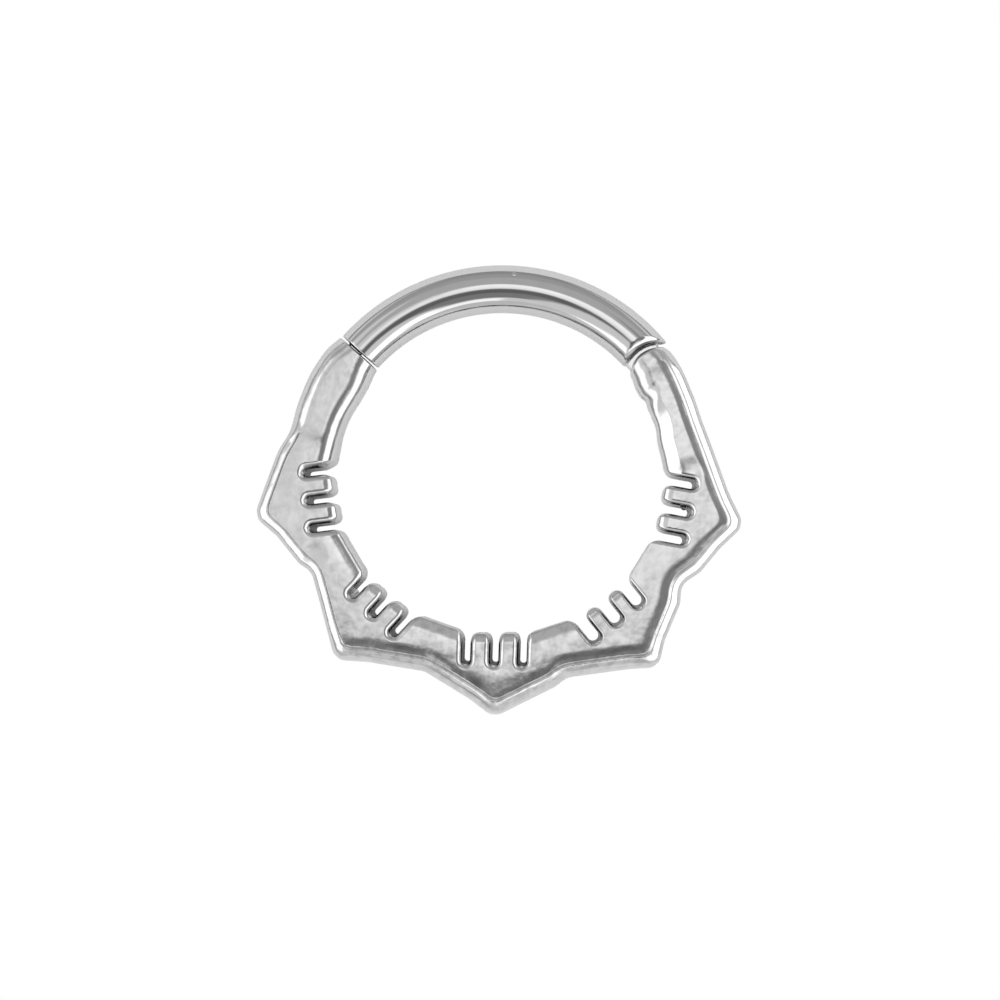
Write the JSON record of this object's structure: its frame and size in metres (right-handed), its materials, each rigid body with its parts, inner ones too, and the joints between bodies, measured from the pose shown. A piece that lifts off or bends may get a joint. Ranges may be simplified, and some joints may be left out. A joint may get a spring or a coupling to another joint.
{
  "type": "septum ring",
  "caption": "Hinged septum ring: a round wire bar closes onto a flat cast plate with pointed lobes on its outer edge and short slots cut into its inner edge, in polished steel.",
  "frame": {"origin": "middle of the underside: under the centre of the whole ring's box, on the plane that the plate's flat back lies on", "axes": "+Z from the plate's back to its decorated front, +Y from the lobes towards the round bar, +X to the wearer's left, towards the hinge"},
  "size_m": [0.012, 0.0112, 0.0012],
  "materials": {
    "cast_steel": "cast steel, tumbled and polished",
    "wire_steel": "drawn steel wire, mirror polished",
    "pin_steel": "drawn steel wire, end filed flush"
  },
  "bodies": {
    "plate": {"lobed_plate": "cast_steel", "hinge_pin": "pin_steel"},
    "bar": {"hinged_bar": "wire_steel"}
  },
  "joints": [
    {"name": "bar_hinge", "type": "hinge", "parent": "plate", "child": "bar", "pos_m": [0.00405, 0.00269, 0.0006], "axis": [0, 0, -1], "range_deg": [0, 90]}
  ]
}
